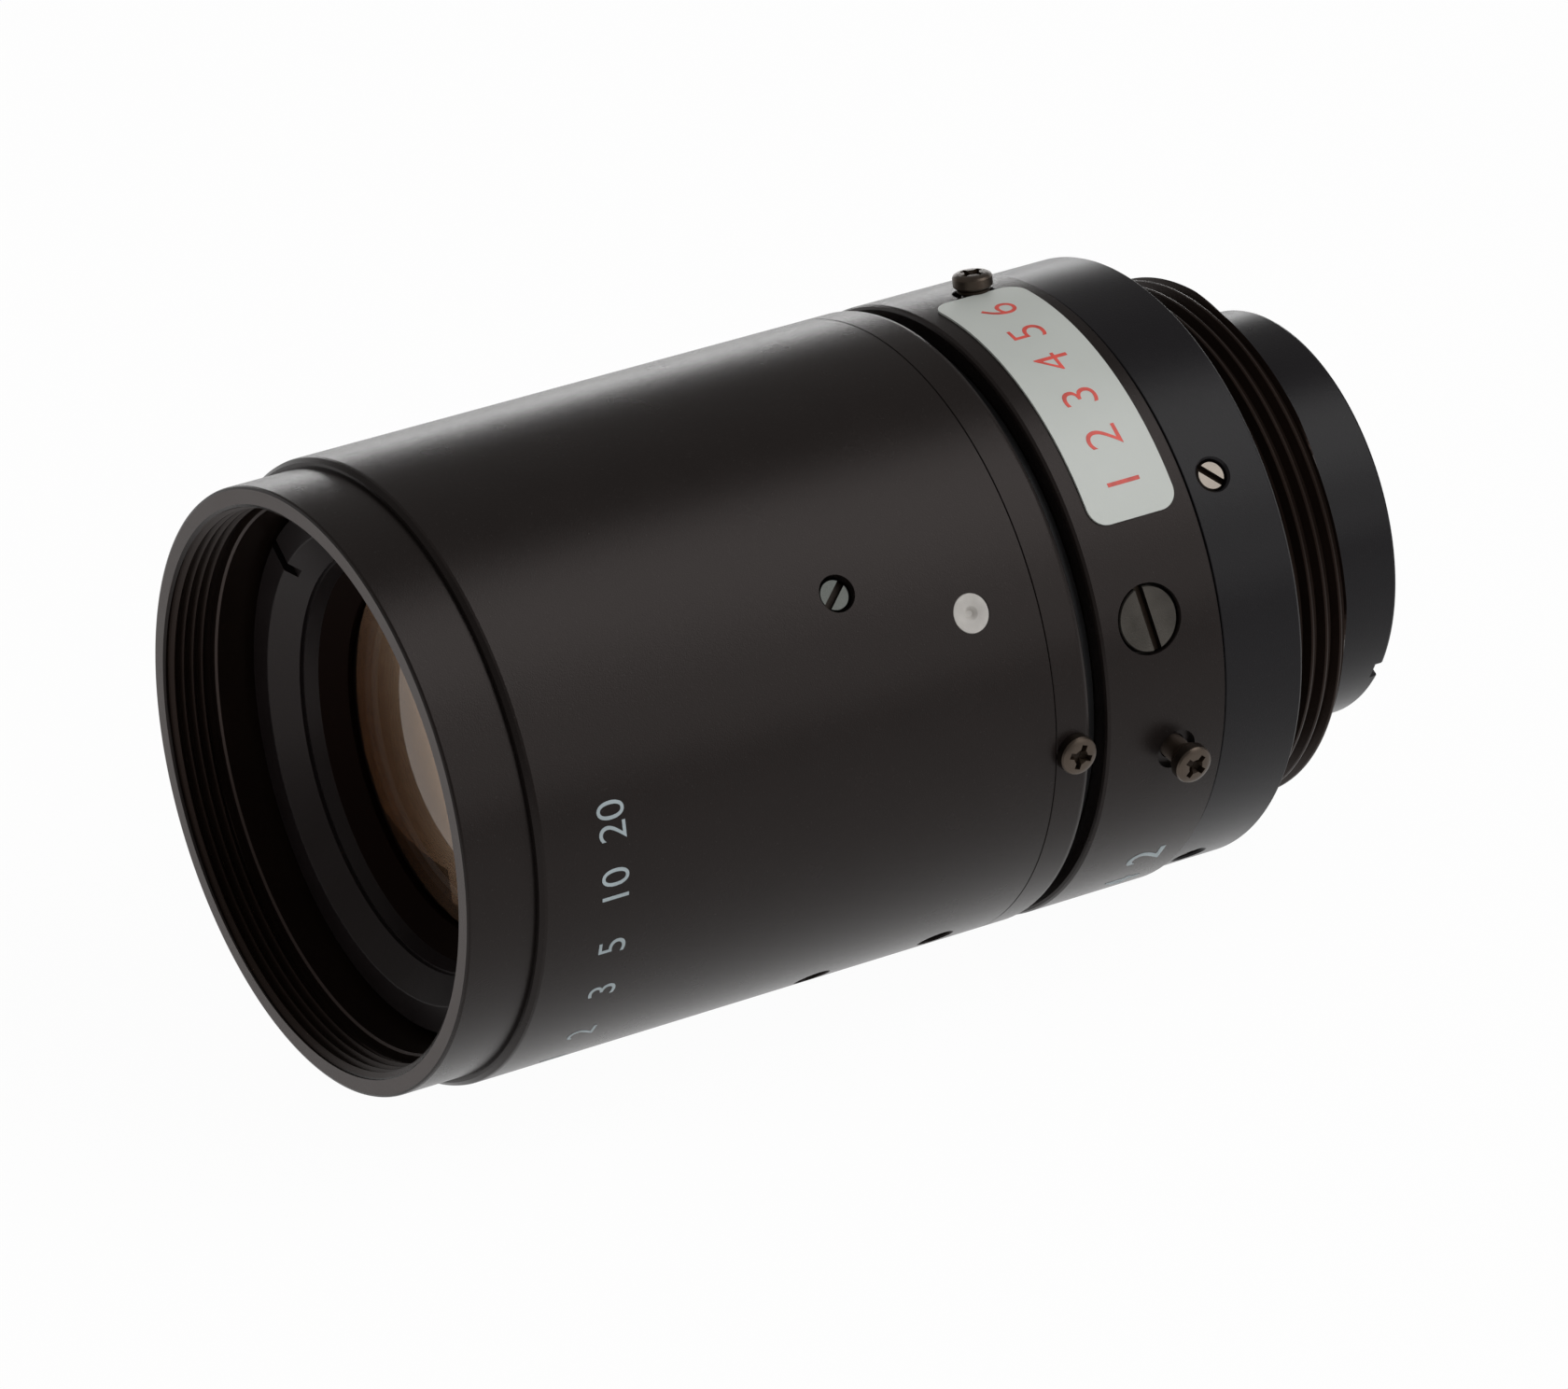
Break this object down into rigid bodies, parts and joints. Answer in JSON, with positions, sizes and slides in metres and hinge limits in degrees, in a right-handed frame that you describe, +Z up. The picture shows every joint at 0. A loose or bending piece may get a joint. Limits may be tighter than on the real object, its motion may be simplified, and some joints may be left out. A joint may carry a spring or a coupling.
{
  "type": "entocentric lens",
  "caption": "Fixed-focal machine-vision lens with C-mount thread, turning focus barrel, iris ring with blade diaphragm, lock screws and a threaded front rim.",
  "frame": {"origin": "centre of the mount flange face on the optical axis", "axes": "+Y along the optical axis towards the camera, front of the lens faces -Y, +Z up"},
  "size_m": [0.0312, 0.0535, 0.0305],
  "materials": {
    "black_anodised": "satin",
    "flat_black": "matte",
    "housing_black": "satin",
    "steel_dark": "satin",
    "steel_bright": "satin",
    "steel_grey": "satin",
    "spring_steel": "satin",
    "brass": "satin",
    "label_paper": "matte",
    "dot_paint": "matte",
    "coated_glass": "gloss",
    "clear_glass": "gloss"
  },
  "bodies": {
    "housing": {"mount_housing": "housing_black", "housing_set_screws": "steel_bright", "main_barrel": "flat_black", "guide_pin": "steel_bright", "rear_cell": "housing_black", "rear_doublet_inner": "clear_glass", "rear_doublet_outer": "clear_glass", "rear_element": "coated_glass", "rear_spacer": "flat_black", "rear_retaining_ring": "flat_black", "iris_base_plate": "flat_black", "iris_retaining_ring": "flat_black", "iris_keeper_ring": "spring_steel"},
    "iris": {"iris_ring": "black_anodised", "iris_cam_ring": "brass", "iris_drive_screw": "steel_dark", "number_label": "label_paper"},
    "front_group": {"front_cell": "flat_black", "front_element": "coated_glass", "front_spacer": "flat_black", "second_element": "clear_glass", "front_doublet_outer": "clear_glass", "front_doublet_inner": "clear_glass", "doublet_retaining_ring": "flat_black", "front_retaining_ring": "flat_black"},
    "focus": {"focus_ring": "black_anodised", "focus_barrel": "black_anodised", "barrel_set_screws": "steel_grey", "index_dot": "dot_paint", "front_rim": "black_anodised"},
    "focus_lock": {"focus_lock_screw": "steel_dark"},
    "iris_lock_upper": {"iris_lock_screw_upper": "steel_dark"},
    "iris_lock_side": {"iris_lock_screw_side": "steel_dark"},
    "blade_1": {"iris_blade_1": "spring_steel"},
    "blade_2": {"iris_blade_2": "spring_steel"},
    "blade_3": {"iris_blade_3": "spring_steel"},
    "blade_4": {"iris_blade_4": "spring_steel"},
    "blade_5": {"iris_blade_5": "spring_steel"},
    "blade_6": {"iris_blade_6": "spring_steel"}
  },
  "joints": [
    {"name": "iris_turn", "type": "hinge", "parent": "housing", "child": "iris", "pos_m": [0, 0, 0], "axis": [0, -1, 0], "range_deg": [0, 50]},
    {"name": "blade_1_swing", "type": "hinge", "parent": "housing", "child": "blade_1", "pos_m": [0.01055, 0, 0], "axis": [0, -1, 0], "range_deg": [0, 28]},
    {"name": "blade_2_swing", "type": "hinge", "parent": "housing", "child": "blade_2", "pos_m": [0.00528, 0, 0.00914], "axis": [0, -1, 0], "range_deg": [0, 28]},
    {"name": "blade_3_swing", "type": "hinge", "parent": "housing", "child": "blade_3", "pos_m": [-0.00528, 0, 0.00914], "axis": [0, -1, 0], "range_deg": [0, 28]},
    {"name": "blade_4_swing", "type": "hinge", "parent": "housing", "child": "blade_4", "pos_m": [-0.01055, 0, 0], "axis": [0, -1, 0], "range_deg": [0, 28]},
    {"name": "blade_5_swing", "type": "hinge", "parent": "housing", "child": "blade_5", "pos_m": [-0.00528, 0, -0.00914], "axis": [0, -1, 0], "range_deg": [0, 28]},
    {"name": "blade_6_swing", "type": "hinge", "parent": "housing", "child": "blade_6", "pos_m": [0.00528, 0, -0.00914], "axis": [0, -1, 0], "range_deg": [0, 28]},
    {"name": "focus_slide", "type": "slide", "parent": "housing", "child": "front_group", "axis": [0, -1, 0], "range_m": [0, 0.0035]},
    {"name": "focus_turn", "type": "hinge", "parent": "front_group", "child": "focus", "pos_m": [0, 0, 0], "axis": [0, -1, 0], "range_deg": [0, 250]},
    {"name": "focus_lock_travel", "type": "slide", "parent": "focus", "child": "focus_lock", "axis": [0.9998, 0, -0.0175], "range_m": [0, 0.0016]},
    {"name": "iris_lock_upper_travel", "type": "slide", "parent": "iris", "child": "iris_lock_upper", "axis": [-0.1822, 0, 0.9833], "range_m": [-0.00035, 0.00125]},
    {"name": "iris_lock_side_travel", "type": "slide", "parent": "iris", "child": "iris_lock_side", "axis": [0.9925, 0, -0.1219], "range_m": [-0.001, 0.0006]}
  ],
  "couplings": [
    {"joint": "blade_1_swing", "follows": "iris_turn", "ratio": 0.56},
    {"joint": "blade_2_swing", "follows": "iris_turn", "ratio": 0.56},
    {"joint": "blade_3_swing", "follows": "iris_turn", "ratio": 0.56},
    {"joint": "blade_4_swing", "follows": "iris_turn", "ratio": 0.56},
    {"joint": "blade_5_swing", "follows": "iris_turn", "ratio": 0.56},
    {"joint": "blade_6_swing", "follows": "iris_turn", "ratio": 0.56},
    {"joint": "focus_turn", "follows": "focus_slide", "rad_per_m": 1246.7}
  ]
}
